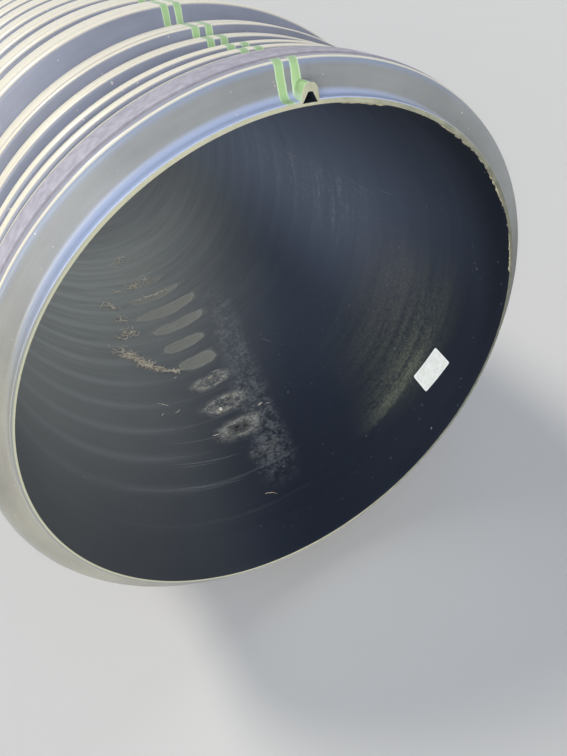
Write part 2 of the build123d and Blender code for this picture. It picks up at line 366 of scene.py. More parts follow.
phase = start.math("FRACT", (depth - CREST_CENTRE) / PITCH) - 0.5
off_seam = phase * PITCH + (streaks - 0.5) * 3 * MM
seam = off_seam.size().near(SEAM_OFFSET, 1.6 * MM, 0.4 * MM)
low_left = angle.near(-2.05, 0.75, 0.3) * depth.rise(0.05, 0.25)
base = (seam * low_left * streaks.rise(0.35, 0.6) * 0.3).tint(base, DUST_PALE)
wash = (phase.size() * PITCH).rise(26 * MM, 4 * MM)
between = (1 - wash * 0.6) * streaks.rise(0.2, 0.8) * depth.rise(0.4, 0.95)
base = (between * 0.3).tint(base, LINER_DARK)
high_left = toward(start, angle, 200, 0.55, 0.95) * depth.rise(0.1, 0.4)
high_left = high_left * (washed_end * 0.8 + 0.2)
base = (wash * high_left * (0.3 + streaks * 0.5) * 0.4).tint(base, DUST_PALE)
for (first_angle, first_depth), (last_angle, last_depth), width in SCRATCHES:
    first = Vector((radians(first_angle) * BORE_RADIUS, first_depth))
    run = Vector((radians(last_angle) * BORE_RADIUS, last_depth)) - first
    length = run.length
    run /= length
    around = angle * BORE_RADIUS - first.x
    ahead = depth - first.y
    travelled = around * run.x + ahead * run.y
    strayed = (around * run.y - ahead * run.x).size()
    scratch = strayed.rise(width, width / 3)
    scratch = scratch * travelled.rise(0, length / 3) * travelled.rise(length, length * 2 / 3)
    base = (scratch * fine.rise(0.2, 0.6) * 0.5).tint(base, DUST_PALE)
base = (specks * 0.7).tint(base, DUST_PALE)
roughness = 0.46 + dust * 0.25 + sheen_and_dust_side * 0.1
finish_material(start, base, roughness, fine * 0.04 * MM + streaks * 0.06 * MM, IOR=1.5)

CUT_KHAKI = shade(180, 180, 156)
CUT_SHADED_GREY = shade(84, 87, 76)
CUT_EDGE = shade(122, 126, 130)

cut_finish, start = new_material("sawn_polyethylene")
position, right, radius, angle, _, _ = round_the_pipe(start)
stripes = {"Vector": position, "Scale": 90.0, "Distortion": 6.0, "Detail": 2.0}
saw = start.node("ShaderNodeTexWave", {}, stripes)
marks = position.clouds(45.0, 4.0, 0.65)
# The sawn face is painted light khaki on the left and a dark grey on the right: painted light and
# shade.
base = (marks * 0.7 - right * 1.3).rise(-0.4, 0.6).tint(CUT_SHADED_GREY, CUT_KHAKI)
outer_part = radius.rise(BORE_RADIUS + 2 * MM, BORE_RADIUS + 4 * MM)
base = (outer_part * toward(start, angle, 190, 0.2, 0.8) * 0.85).tint(base, CUT_EDGE)
finish_material(start, base, 0.55, saw * 0.08 * MM + marks * 0.2 * MM)
wall_finishes = (outside_finish, liner_finish, cut_finish)


def rounded(corners):
    """Points and finishes round a closed ring of (radius, place, rounding, finish) corners."""
    points = []
    for i, (radius, place, rounding, finish) in enumerate(corners):
        corner = np.array((radius, place))
        if not rounding:
            points.append((radius, place, finish))
            continue
        before = np.array(corners[i - 1][:2]) - corner
        after = np.array(corners[(i + 1) % len(corners)][:2]) - corner
        before /= np.linalg.norm(before)
        after /= np.linalg.norm(after)
        turn = pi - acos(before @ after)
        reach = rounding * tan(turn / 2)
        inward = (before + after) / np.linalg.norm(before + after)
        centre = corner + inward * rounding / cos(turn / 2)
        first_arm = corner + before * reach - centre
        last_arm = corner + after * reach - centre
        steps = max(2, ceil(turn / ARC_STEP))
        for step in range(steps + 1):
            swept = turn * step / steps
            arm = (sin(turn - swept) * first_arm + sin(swept) * last_arm) / sin(turn)
            points.append((*(centre + arm), finish))
    return points


def slot_line(radius, place):
    """The corners of the fine groove that the mould's vacuum slot leaves on a crest."""
    return [
        (radius, place - SLOT_LINE_WIDTH / 2, 0, OUTSIDE),
        (radius - SLOT_LINE_DEPTH, place, 0, OUTSIDE),
        (radius, place + SLOT_LINE_WIDTH / 2, 0, OUTSIDE),
    ]


def crest_corners(
    front, width, radius=CREST_RADIUS, lean=SIDE_LEAN, top=CREST_ROUND, root=ROOT_ROUND
):
    """The corners of one ring corrugation, with the vacuum slot's line along its top."""
    run = (radius - VALLEY_RADIUS) * tan(radians(lean))
    return [
        (VALLEY_RADIUS, front - run, root, OUTSIDE),
        (radius, front, top, OUTSIDE),
        *slot_line(radius, front + SLOT_LINE_SHARE * width),
        (radius, front + width, top, OUTSIDE),
        (VALLEY_RADIUS, front + width + run, root, OUTSIDE),
    ]


def smooth(share):
    """0 below 0, 1 above 1, and smooth between them."""
    share = np.clip(share, 0, 1)
    return share * share * (3 - 2 * share)


def liner_corners(spans):
    """The liner from back to front, sunk a little under each (front, back) span of a hollow."""
    corners = []
    for front, back in spans:
        for edge, way in ((front, 1), (back, -1)):
            for share in (0, 1 / 3, 2 / 3, 1):
                sunk = LINER_SAG * float(smooth(share if way > 0 else 1 - share))
                place = edge + SAG_SLOPE * (share - 0.5)
                corners.append((BORE_RADIUS + sunk, place, 0, LINER))
    return corners[::-1]


def new_piece(name, vertices, faces, finishes):
    """A mesh object with these finishes, linked to the scene."""
    mesh = bpy.data.meshes.new(name)
    mesh.from_pydata(vertices, [], faces)
    for finish in finishes:
        mesh.materials.append(finish)
    piece = bpy.data.objects.new(name, mesh)
    bpy.context.collection.objects.link(piece)
    return piece


def turned(name, points, angles, change=None, finishes=wall_finishes):
    """A closed ring mesh from a closed outline of (radius, place, finish) points."""
    radii = np.array([[point[0]] * len(angles) for point in points])
    places = np.array([[point[1]] * len(angles) for point in points])
    finish_numbers = np.array([point[2] for point in points])
    if change:
        radii, places = change(radii, places, finish_numbers)
    rings, columns = radii.shape
    x = radii * np.cos(angles)
    z = AXIS_HEIGHT + radii * np.sin(angles)
    vertices = np.stack([x, LIP + places, z], axis=2).reshape(-1, 3)
    index = np.arange(rings * columns).reshape(rings, columns)
    after = np.roll(index, -1, axis=0)
    corners = [index, after, np.roll(after, -1, axis=1), np.roll(index, -1, axis=1)]
    quads = np.stack(corners, axis=2).reshape(-1, 4)
    piece = new_piece(name, vertices.tolist(), quads.tolist(), finishes)
    piece.data.polygons.foreach_set("material_index", np.repeat(finish_numbers, columns))
    piece.data.shade_smooth()
    piece.data.set_sharp_from_angle(angle=SHARP_ANGLE)
    return piece


def put_on(piece, node):
    """The piece rides on the pipe and stands for a node, whose part is hidden."""
    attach(piece, "root")
    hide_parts(node)


def valley_after(count):
    """The middle of the valley behind that many full crests."""
    return FIRST_FULL_FRONT + count * PITCH - (PITCH - CREST_WIDTH) / 2


even_angles = np.linspace(0, 2 * pi, BARREL_SIDES, endpoint=False)
section_ends = np.linspace(1, full_count, BARREL_SECTIONS + 1).round().astype(int)
for number, (first, last) in enumerate(zip(section_ends, section_ends[1:]), start=1):
    fronts = [FIRST_FULL_FRONT + i * PITCH for i in range(first, last)]
    outline = [(VALLEY_RADIUS, valley_after(first), 0, OUTSIDE)]
    for front in fronts:
        outline += crest_corners(front, CREST_WIDTH)
    outline.append((VALLEY_RADIUS, valley_after(last), 0, CUT))
    outline.append((BORE_RADIUS, valley_after(last), 0, LINER))
    outline += liner_corners([(front, front + CREST_WIDTH) for front in fronts])
    outline.append((BORE_RADIUS, valley_after(first), 0, CUT))
    barrel = turned(f"barrel_section_{number}", rounded(outline), even_angles)
    put_on(barrel, "pipe_wall")


# The socket bell
# The far end is blown out to take the next pipe's spigot: a long band in line with the crests, a
# narrow step, a collar and a ribbed mouth, with a smooth socket, a shoulder and a flared lead
# inside. The band carries the fine lines of the mould's vacuum slots.
SOCKET_RADIUS = frame["record"]["mounts"][0]["dims"]["r_mm"] * MM
STEP_FLOOR = 513.8 * MM
MOUTH_RADIUS = 517 * MM
MOUTH_OUTSIDE = 523 * MM
MOUTH_DEPTH = 62 * MM
MOUTH_TAPER = 10 * MM
LEAD_IN = 4 * MM
COLLAR_WIDTH = 75 * MM
COLLAR_RUN = 1.5 * MM
STEP_WIDTH = 8 * MM
RIB_COUNT = 3
RIB_PITCH = 22 * MM
RIB_WIDTH = 9 * MM
RIB_HEIGHT = 6 * MM
RIB_ROUND = 1.6 * MM
RIB_DRAFT = 1 * MM
SHOULDER_SETBACK = 12 * MM
SHOULDER_LENGTH = 22 * MM
SHOULDER_ROUND = 14 * MM
BAND_LINES = 4

collar_front = pipe_length - RIB_COUNT * RIB_PITCH - COLLAR_WIDTH
collar_back = collar_front + COLLAR_WIDTH
band_back = collar_front - STEP_WIDTH
bell_start = valley_after(full_count)
foot = (CREST_RADIUS - VALLEY_RADIUS) * tan(radians(SIDE_LEAN))
outline = [
    (VALLEY_RADIUS, bell_start, 0, OUTSIDE),
    (VALLEY_RADIUS, bell_front - foot, ROOT_ROUND, OUTSIDE),
    (CREST_RADIUS, bell_front, CREST_ROUND, OUTSIDE),
]
for number in range(1, BAND_LINES + 1):
    line_place = bell_front + number * (band_back - bell_front) / (BAND_LINES + 1)
    outline += slot_line(CREST_RADIUS, line_place)
outline += [
    (CREST_RADIUS, band_back, RIB_ROUND, OUTSIDE),
    (STEP_FLOOR, band_back + RIB_ROUND, RIB_ROUND, OUTSIDE),
    (STEP_FLOOR, collar_front - RIB_ROUND, RIB_ROUND, OUTSIDE),
    (CREST_RADIUS, collar_front, RIB_ROUND, OUTSIDE),
    (CREST_RADIUS, collar_back, CREST_ROUND, OUTSIDE),
    (MOUTH_OUTSIDE, collar_back + COLLAR_RUN, 0, OUTSIDE),
]
for number in range(RIB_COUNT, 0, -1):
    rib_back = pipe_length - (number - 1) * RIB_PITCH
    rib_front = rib_back - RIB_WIDTH
    outline += [
        (MOUTH_OUTSIDE, rib_front - RIB_DRAFT, RIB_DRAFT, OUTSIDE),
        (MOUTH_OUTSIDE + RIB_HEIGHT, rib_front, RIB_ROUND, OUTSIDE),
        (MOUTH_OUTSIDE + RIB_HEIGHT, rib_back, RIB_ROUND, OUTSIDE),
    ]
    if number > 1:
        outline.append((MOUTH_OUTSIDE, rib_back + RIB_DRAFT, RIB_DRAFT, OUTSIDE))
taper_front = pipe_length - MOUTH_DEPTH - MOUTH_TAPER
shoulder_front = bell_front + SHOULDER_SETBACK
outline += [
    (MOUTH_RADIUS + LEAD_IN, pipe_length, RIB_ROUND, OUTSIDE),
    (MOUTH_RADIUS, pipe_length - 2 * LEAD_IN, 0, OUTSIDE),
    (MOUTH_RADIUS, taper_front + MOUTH_TAPER, LEAD_IN, LINER),
    (SOCKET_RADIUS, taper_front, LEAD_IN, LINER),
    (SOCKET_RADIUS, shoulder_front + SHOULDER_LENGTH, SHOULDER_ROUND, LINER),
    (BORE_RADIUS, shoulder_front, SHOULDER_ROUND, LINER),
    (BORE_RADIUS, bell_start, 0, CUT),
]
put_on(turned("socket_bell", rounded(outline), even_angles), "pipe_wall")


# The spigot end
# The near end is moulded smaller to slide into the next pipe's bell: a wide crest that carries the
# gasket in a seat, three narrow crests and one larger one. It was sawn off square through a valley,
# and a vent channel runs under a ridge near the crown and opens at the sawn lip.
SPIGOT_RADIUS = frame["record"]["mounts"][1]["dims"]["r_mm"] * MM
LAST_RADIUS = 514.5 * MM
LINER_OUTSIDE = 460.4 * MM
SPIGOT_LEAN = 5
SPIGOT_ROUND = 5 * MM
SPIGOT_ROOT = 4 * MM
LIP_LEAN = 12
LIP_ROOT = 9 * MM
LIP_EDGE = 1.2 * MM
BORE_EDGE = 0.8 * MM
# Each crest has a front and a width, and the seat has a depth too
LIP_CREST = (26 * MM, 68 * MM)
LIP_CREST_EDGE = 2.4 * MM
SEAT = (40 * MM, 50 * MM, 12 * MM)
SEAT_EDGE = 1 * MM
NARROW_CRESTS = ((111.5 * MM, 19 * MM), (152 * MM, 19 * MM), (220 * MM, 32 * MM))
LAST_CREST = (273 * MM, 52 * MM)
LIP_WAVE = 0.9 * MM
LIP_WAVE_REACH = 12 * MM
VENT_ANGLE = radians(84.1)
VENT_FOOT = 12.6 * MM
VENT_RISE = 19.5 * MM
VENT_BLEND = 4 * MM
CHANNEL_HALF = 10.8 * MM
CHANNEL_TOP = 3.2 * MM
CHANNEL_FLOOR = 0.3 * MM
CHANNEL_RISE = 12.0 * MM
CHANNEL_ENDS = (-5 * MM, 60 * MM)
CHANNEL_STEPS = 16
SPIGOT_SIDES = 320
VENT_SPAN = 26 * MM
VENT_COLUMNS = 56
VENT_MARGIN = 0.002

lip_front, lip_width = LIP_CREST
lip_back = lip_front + lip_width
seat_front, seat_width, seat_depth = SEAT
seat_back = seat_front + seat_width
seat_floor = SPIGOT_RADIUS - seat_depth
lip_run = SPIGOT_RADIUS - VALLEY_RADIUS
outline = [
    (VALLEY_RADIUS, 0, LIP_EDGE, OUTSIDE),
    (VALLEY_RADIUS, lip_front - lip_run * tan(radians(LIP_LEAN)), LIP_ROOT, OUTSIDE),
    (SPIGOT_RADIUS, lip_front, CREST_ROUND, OUTSIDE),
    (SPIGOT_RADIUS, seat_front, SEAT_EDGE, OUTSIDE),
    (seat_floor, seat_front, 0, OUTSIDE),
    (seat_floor, seat_back, 0, OUTSIDE),
    (SPIGOT_RADIUS, seat_back, SEAT_EDGE, OUTSIDE),
    (SPIGOT_RADIUS, lip_back, LIP_CREST_EDGE, OUTSIDE),
    (VALLEY_RADIUS, lip_back + lip_run * tan(radians(SPIGOT_LEAN)), SPIGOT_ROOT, OUTSIDE),
]
hollows = [(lip_front, lip_back)]
spigot_crests = [(front, width, SPIGOT_RADIUS) for front, width in NARROW_CRESTS]
spigot_crests.append((*LAST_CREST, LAST_RADIUS))
for front, width, crest_radius in spigot_crests:
    outline += crest_corners(front, width, crest_radius, SPIGOT_LEAN, SPIGOT_ROUND, SPIGOT_ROOT)
    hollows.append((front, front + width))
outline += crest_corners(FIRST_FULL_FRONT, CREST_WIDTH)
hollows.append((FIRST_FULL_FRONT, FIRST_FULL_FRONT + CREST_WIDTH))
outline.append((VALLEY_RADIUS, valley_after(1), 0, CUT))
outline.append((BORE_RADIUS, valley_after(1), 0, LINER))
outline += liner_corners(hollows)
outline.append((BORE_RADIUS, 0, BORE_EDGE, CUT))

round_angles = np.linspace(0, 2 * pi, SPIGOT_SIDES, endpoint=False)
vent_half_angle = VENT_SPAN / VALLEY_RADIUS
vent_fan = np.linspace(VENT_ANGLE - vent_half_angle, VENT_ANGLE + vent_half_angle, VENT_COLUMNS)
in_fan = (round_angles > vent_fan[0] - VENT_MARGIN) & (round_angles < vent_fan[-1] + VENT_MARGIN)
spigot_angles = np.sort(np.concatenate([round_angles[~in_fan], vent_fan, [pi / 2]]))


def lip_wave(angle):
    """How far the sawn lip strays into the pipe at an angle round its circle."""
    return LIP_WAVE * (0.5 + 0.5 * noise.noise((3 * cos(angle), 3 * sin(angle), 4.2)))


def spigot_shape(radii, places, finish_numbers):
    """Adds the vent's ridge over the valleys and the unevenness of the sawn lip."""
    aside = np.abs(spigot_angles - VENT_ANGLE) * VALLEY_RADIUS
    ridge = VENT_RISE * np.clip(1 - (aside / VENT_FOOT) ** 3, 0, 1) ** 0.62
    ridge = np.broadcast_to(ridge, radii.shape)
    blend = np.clip(ridge, 1e-9, VENT_BLEND)
    wall = np.maximum(radii, VALLEY_RADIUS)
    gap = np.clip(blend - np.abs(wall - VALLEY_RADIUS - ridge), 0, None)
    raised = np.maximum(wall, VALLEY_RADIUS + ridge) + gap**2 / (4 * blend)
    raised += np.minimum(radii - VALLEY_RADIUS, 0)
    outer = (finish_numbers == OUTSIDE)[:, None] & (places < FIRST_FULL_FRONT)
    nearness = np.clip(1 - places / LIP_WAVE_REACH, 0, 1)
    waves = np.array([lip_wave(angle) for angle in spigot_angles])
    return np.where(outer, raised, radii), places + nearness * waves


spigot = turned("spigot_end", rounded(outline), spigot_angles, spigot_shape)

arch = []
for step in range(1, CHANNEL_STEPS):
    aside = CHANNEL_HALF * (2 * step / CHANNEL_STEPS - 1)
    lean_share = max(0, abs(aside) - CHANNEL_TOP) / (CHANNEL_HALF - CHANNEL_TOP)
    arch.append((aside, CHANNEL_RISE * (1 - lean_share) ** 1.2))
for step in range(CHANNEL_STEPS + 1):
    arch.append((CHANNEL_HALF * (1 - 2 * step / CHANNEL_STEPS), 0.0))
corners = []
for end in CHANNEL_ENDS:
    for aside, lift in arch:
        a = VENT_ANGLE - aside / VALLEY_RADIUS
        reach = LINER_OUTSIDE + CHANNEL_FLOOR + lift
        corners.append((reach * cos(a), LIP + end, AXIS_HEIGHT + reach * sin(a)))
count = len(arch)
sides = [(i, (i + 1) % count, count + (i + 1) % count, count + i) for i in range(count)]
sides += [tuple(range(count))[::-1], tuple(range(count, 2 * count))]
cutter = new_piece("channel_cutter", corners, sides, wall_finishes)
cutter.data.polygons.foreach_set("material_index", [LINER] * len(sides))
boolean = spigot.modifiers.new("channel", "BOOLEAN")
boolean.operation = "DIFFERENCE"
boolean.solver = "EXACT"
boolean.object = cutter
evaluated = spigot.evaluated_get(bpy.context.evaluated_depsgraph_get())
carved = bpy.data.meshes.new_from_object(evaluated)
spigot.modifiers.clear()
spigot.data = carved
bpy.data.objects.remove(cutter)
put_on(spigot, "pipe_wall")


# The gasket
# A moulded rubber ring that sits in the seat of the first spigot crest. It is stretched on, and its
# top stands a little proud so that the socket squeezes it. Dust sticks to it in soft spots.
gasket_low, gasket_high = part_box("spigot_gasket")
GASKET_RADIUS = (gasket_high[2] - gasket_low[2]) / 2
GASKET_CLEARANCE = 0.3 * MM
GASKET_GROOVE = 2 * MM
GASKET_LIP = 7 * MM
GASKET_ROUND = 1.2 * MM
GASKET_EDGE = 0.5 * MM
GASKET_DARK = shade(156, 153, 163)
GASKET_DUST = shade(192, 189, 200)
GASKET_RIM_HIGHLIGHT = shade(226, 222, 200)
GROOVE_SHADE = shade(92, 88, 98)

gasket_finish, start = new_material("gasket_rubber")
position, _, radius, _, depth, _ = round_the_pipe(start)
spots = position.clouds(85.0, 3.0, 0.6)
grain = position.clouds(300.0, 2.0)
rim_highlight = depth.rise(SEAT_BACK - 6.5 * MM, SEAT_BACK - 5.0 * MM)
groove = radius.rise(GASKET_RADIUS - 0.4 * MM, GASKET_RADIUS - 1.4 * MM)
base = (spots.rise(0.25, 0.7) * 0.7 + grain * 0.3).tint(GASKET_DARK, GASKET_DUST)
# The gasket is painted darker below its top, in the groove and down its sides: painted shade.
base = (groove * 0.5).tint(base, GROOVE_SHADE)
# The gasket's back edge is painted pale cream in spots: a painted highlight where light catches it.
base = (rim_highlight * spots.rise(0.2, 0.45) * 0.9).tint(base, GASKET_RIM_HIGHLIGHT)
finish_material(start, base, 0.72, grain * 0.1 * MM + spots * 0.1 * MM)

front = gasket_low[1] - LIP
back = gasket_high[1] - LIP
bottom = seat_floor + GASKET_CLEARANCE
low = GASKET_RADIUS - GASKET_GROOVE
lip_top = GASKET_RADIUS - GASKET_GROOVE / 2
groove_back = back - GASKET_LIP
groove_front = groove_back - GASKET_GROOVE
outline = [
    (bottom, front, 0, OUTSIDE),
    (low, front, GASKET_ROUND, OUTSIDE),
    (GASKET_RADIUS, front + 2 * GASKET_GROOVE, 2 * GASKET_ROUND, OUTSIDE),
    (GASKET_RADIUS, groove_front, GASKET_ROUND / 2, OUTSIDE),
    (low, groove_front, GASKET_EDGE, OUTSIDE),
    (low, groove_back, GASKET_EDGE, OUTSIDE),
    (lip_top, groove_back, GASKET_EDGE, OUTSIDE),
    (lip_top, back - GASKET_GROOVE, GASKET_ROUND, OUTSIDE),
    (low, back, 0, OUTSIDE),
    (bottom, back, 0, OUTSIDE),
]
gasket = turned("rubber_gasket", rounded(outline), round_angles, finishes=(gasket_finish,))
put_on(gasket, "spigot_gasket")


# The label
# A white film sticker near the lip, low on the right, left blank. It was pressed on by hand, a
# little askew, and its face is stained and its edge is clean.
LABEL_ANGLE = radians(-31.3)
LABEL_PLACE = 116.8 * MM
LABEL_LENGTH = 94 * MM
LABEL_WIDTH = 54 * MM
LABEL_TILT = radians(9.6)
LABEL_CORNER = 4 * MM
LABEL_LIFT = 0.35 * MM
LABEL_THICKNESS = 0.25 * MM
LABEL_PUFF = 0.25 * MM
LABEL_ROWS, LABEL_COLUMNS = 25, 41
LABEL_WHITE = shade(246, 249, 248)
LABEL_STAIN = shade(228, 233, 224)
LABEL_FLECK = shade(150, 158, 148)

label_finish, start = new_material("label_film")
position = start.node("ShaderNodeTexCoord", {}, {}, "UV")
stains = position.clouds(5.0, 5.0, 0.7)
flecks = position.clouds(26.0, 3.0, 0.6)
u_share = start.node("ShaderNodeSeparateXYZ", {}, {"Vector": position}, "X")
from_middle = start.math("MAXIMUM", (u_share - 0.5).size(), (u_share.other("Y") - 0.5).size())
inner_part = from_middle.rise(0.49, 0.44)
base = (stains.rise(0.35, 0.65) * inner_part * 0.9).tint(LABEL_WHITE, LABEL_STAIN)
base = (flecks.rise(0.60, 0.70) * inner_part * 0.5).tint(base, LABEL_FLECK)
finish_material(start, base, 0.5, stains * 0.15 * MM)

grid = []
for row in range(LABEL_ROWS):
    for column in range(LABEL_COLUMNS):
        u = (column / (LABEL_COLUMNS - 1) - 0.5) * LABEL_LENGTH
        v = (row / (LABEL_ROWS - 1) - 0.5) * LABEL_WIDTH
        past_u = abs(u) - (LABEL_LENGTH / 2 - LABEL_CORNER)
        past_v = abs(v) - (LABEL_WIDTH / 2 - LABEL_CORNER)
        if past_u > 0 and past_v > 0:
            shrink = max(past_u, past_v) / Vector((past_u, past_v)).length
            u += (shrink - 1) * past_u * (1 if u > 0 else -1)
            v += (shrink - 1) * past_v * (1 if v > 0 else -1)
        around = u * cos(LABEL_TILT) - v * sin(LABEL_TILT)
        ahead = u * sin(LABEL_TILT) + v * cos(LABEL_TILT)
        grid.append((around, ahead, u / LABEL_LENGTH + 0.5, v / LABEL_WIDTH + 0.5))
vertices = []
for lift in (LABEL_LIFT, LABEL_LIFT + LABEL_THICKNESS):
    for around, ahead, _, _ in grid:
        a = LABEL_ANGLE - around / BORE_RADIUS
        puff = LABEL_PUFF * (1 + noise.noise((around * 60, ahead * 60, 1.7)))
        r = BORE_RADIUS - lift - puff
        vertices.append((r * cos(a), LIP + LABEL_PLACE + ahead, AXIS_HEIGHT + r * sin(a)))
faces = []
sheet = len(grid)
for row in range(LABEL_ROWS - 1):
    for column in range(LABEL_COLUMNS - 1):
        i = row * LABEL_COLUMNS + column
        j = i + LABEL_COLUMNS
        faces.append((i, i + 1, j + 1, j))
        faces.append((sheet + i, sheet + j, sheet + j + 1, sheet + i + 1))
last_row = (LABEL_ROWS - 1) * LABEL_COLUMNS
border = list(range(LABEL_COLUMNS))
border += [row * LABEL_COLUMNS + LABEL_COLUMNS - 1 for row in range(1, LABEL_ROWS)]
border += [last_row + column for column in range(LABEL_COLUMNS - 2, -1, -1)]
border += [row * LABEL_COLUMNS for row in range(LABEL_ROWS - 2, 0, -1)]
for i, j in zip(border, border[1:] + border[:1]):
    faces.append((j, i, sheet + i, sheet + j))
label = new_piece("blank_label", vertices, faces, [label_finish])
uv = label.data.uv_layers.new(name="UVMap")
for loop in label.data.loops:
    uv.data[loop.index].uv = grid[loop.vertex_index % sheet][2:]
label.data.shade_smooth()
label.data.set_sharp_from_angle(angle=SHARP_ANGLE)
put_on(label, "pipe_label")


# The silt
# Rain left a film of silt in the sag of the liner under each hollow, smooth and even further in.
# In the four patches nearest to the mouth it dried as mottled rings with a halo round them, and
# some dark grit lies in the second.
SILT_GREY = shade(170, 172, 164)
SILT_PALE = shade(206, 205, 198)
SILT_BROWN = shade(162, 160, 150)
SILT_SPREAD = 1.6
SILT_LIFT = 0.25 * MM
SILT_SKEW = 0.05
SILT_BLUNT = 2.4
SILT_SPOKES, SILT_LOOPS = 72, 12
RINGS_END, FILM_STARTS = 0.66, 0.73
DEBRIS_DARK = shade(34, 32, 30)
DEBRIS_PLACE = 0.418
DEBRIS_ASIDE = -0.012
# Each patch has a depth in metres, then its left and right end from the invert, its half width
# and its thickness in millimetres.
SILT_PATCHES = (
    (0.312, -34, 42, 24, 0.5),
    (0.421, -79, 44, 33, 0.9),
    (0.534, -72, 51, 33, 1.0),
    (0.649, -65, 53, 28, 0.7),
    (0.764, -65, 64, 34, 0.9),
    (0.878, -84, 67, 30, 0.9),
    (0.993, -84, 121, 29, 0.9),
    (1.107, -103, 137, 34, 0.9),
    (1.222, -90, 112, 25, 0.8),
    (1.336, -70, 80, 25, 0.6),
    (1.450, -60, 76, 24, 0.6),
    (1.564, -52, 66, 22, 0.5),
)


def on_liner(aside, place, lift):
    """A point at an arc distance from the invert, a depth from the lip and a lift off the liner."""
    off_crest = ((place - CREST_CENTRE) / PITCH + 0.5) % 1 - 0.5
    inside = CREST_WIDTH / 2 + SAG_SLOPE / 2 - abs(off_crest) * PITCH
    sunk = LINER_SAG * float(smooth(inside / SAG_SLOPE))
    a = aside / BORE_RADIUS - pi / 2
    r = BORE_RADIUS + sunk - lift
    return (r * cos(a), LIP + place, AXIS_HEIGHT + r * sin(a))


def loose_piece(name, vertices, faces, finish):
    """A smooth mesh that lies on the pipe and stands for no node."""
    piece = new_piece(name, vertices, faces, [finish])
    piece.data.shade_smooth()
    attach(piece, "root")
    return piece


silt_finish, start = new_material("dried_silt")
position, _, _, angle, depth, ring = round_the_pipe(start)
fine = position.clouds(120.0, 5.0, 0.7)
spots = position.clouds(46.0, 4.0, 0.65)
smear = ring.clouds(9.0, 3.0, 0.5)
ringed = depth.rise(FILM_STARTS, RINGS_END)
uv_map = start.node("ShaderNodeUVMap", {}, {})
share = start.node("ShaderNodeSeparateXYZ", {}, {"Vector": uv_map}, "X") * SILT_SPREAD
edge = share + (spots - 0.5) * (0.2 + ringed * 0.3) + (fine - 0.5) * (0.1 + ringed * 0.3)
base = (spots * 0.5 + smear * 0.6).rise(0.35, 0.75).tint(SILT_GREY, SILT_BROWN)
tide_line = edge.rise(0.80, 0.93) * edge.rise(1.06, 0.96)
base = (tide_line * 0.25 + ringed * 0.4).tint(base, SILT_PALE)
film = edge.rise(1.06, 0.92) * (0.46 + fine * 0.22) * depth.rise(1.75, 1.1)
halo = edge.rise(1.55, 0.9) * (fine * 0.8 + spots * 0.5).rise(0.56, 0.78)
halo = halo * (0.34 + ringed * 0.16)
ring_wall = edge.rise(0.3, 0.8) * edge.rise(1.15, 0.92)
mottle = (fine * 0.9 + spots * 0.7).rise(0.54, 1.04)
crust = (ring_wall * 0.55 + 0.3) * edge.rise(1.2, 0.86) * mottle
crust = ringed * crust * depth.rise(0.25, 0.45)
cover = start.math("MAXIMUM", ringed.rise(1.0, 0.0) * film, crust)
cover = start.math("MAXIMUM", cover, halo * depth.rise(0.25, 0.4))
from_invert = (angle + pi / 2) * BORE_RADIUS
debris = depth.near(DEBRIS_PLACE, 0.026, 0.010)
debris = debris * from_invert.near(DEBRIS_ASIDE, 0.040, 0.012) * fine.rise(0.49, 0.53)
base = debris.tint(base, DEBRIS_DARK)
cover = start.math("MAXIMUM", cover, debris)
finish_material(start, base, 0.55, fine * 0.3 * MM + spots * 0.2 * MM, cover)

vertices, faces, shares = [], [], []
for number, (place, left, right, half, thickness) in enumerate(SILT_PATCHES):
    middle, reach = (left + right) / 2 * MM, (right - left) / 2 * MM
    first = len(vertices)
    vertices.append(on_liner(middle, place, thickness * MM))
    shares.append(0.0)
    for loop in range(1, SILT_LOOPS + 1):
        share = loop / SILT_LOOPS
        for spoke in range(SILT_SPOKES):
            turn = 2 * pi * spoke / SILT_SPOKES
            ragged = noise.noise((2.2 * cos(turn), 2.2 * sin(turn), number * 3.1))
            ragged += 0.5 * noise.noise((7 * cos(turn), 7 * sin(turn), number * 5.7))
            blunt = abs(cos(turn)) ** SILT_BLUNT + abs(sin(turn)) ** SILT_BLUNT
            scale = share * SILT_SPREAD * blunt ** (-1 / SILT_BLUNT) * (1.0 + 0.12 * ragged)
            aside = middle + reach * scale * cos(turn)
            ahead = place + half * MM * scale * sin(turn) + SILT_SKEW * (aside - middle)
            crumbs = 0.35 * noise.noise((aside * 140, ahead * 140, 2.0)) * (1 - share)
            dome = max(0, 1 - (share * SILT_SPREAD) ** 2)
            lift = SILT_LIFT + thickness * MM * dome * (0.5 + crumbs)
            vertices.append(on_liner(aside, ahead, lift))
            shares.append(share)
    for spoke in range(SILT_SPOKES):
        after = (spoke + 1) % SILT_SPOKES
        faces.append((first, first + 1 + spoke, first + 1 + after))
        for loop in range(SILT_LOOPS - 1):
            row = first + 1 + loop * SILT_SPOKES
            beyond = row + SILT_SPOKES
            faces.append((row + spoke, beyond + spoke, beyond + after, row + after))
silt = loose_piece("dried_silt", vertices, faces, silt_finish)
uv = silt.data.uv_layers.new(name="UVMap")
for loop in silt.data.loops:
    uv.data[loop.index].uv = (shares[loop.vertex_index], 0.5)


# The pebble
# One pale pebble that the rain washed into the third silt patch, and that stuck there as the
# silt dried round it.
PEBBLE_ASIDE = -32 * MM
PEBBLE_PLACE = 0.514
PEBBLE_HALVES = (5.5 * MM, 7.0 * MM, 4.2 * MM)
PEBBLE_LIFT = 4.6 * MM
PEBBLE_ROUGH = 0.16
PEBBLE_LOOPS, PEBBLE_SPOKES = 9, 14
PEBBLE_CREAM = shade(226, 218, 196)
PEBBLE_WHITE = shade(244, 242, 236)

pebble_finish, start = new_material("pebble")
grain = object_position(start).clouds(260.0, 3.0)
finish_material(start, grain.tint(PEBBLE_CREAM, PEBBLE_WHITE), 0.6, grain * 0.2 * MM)

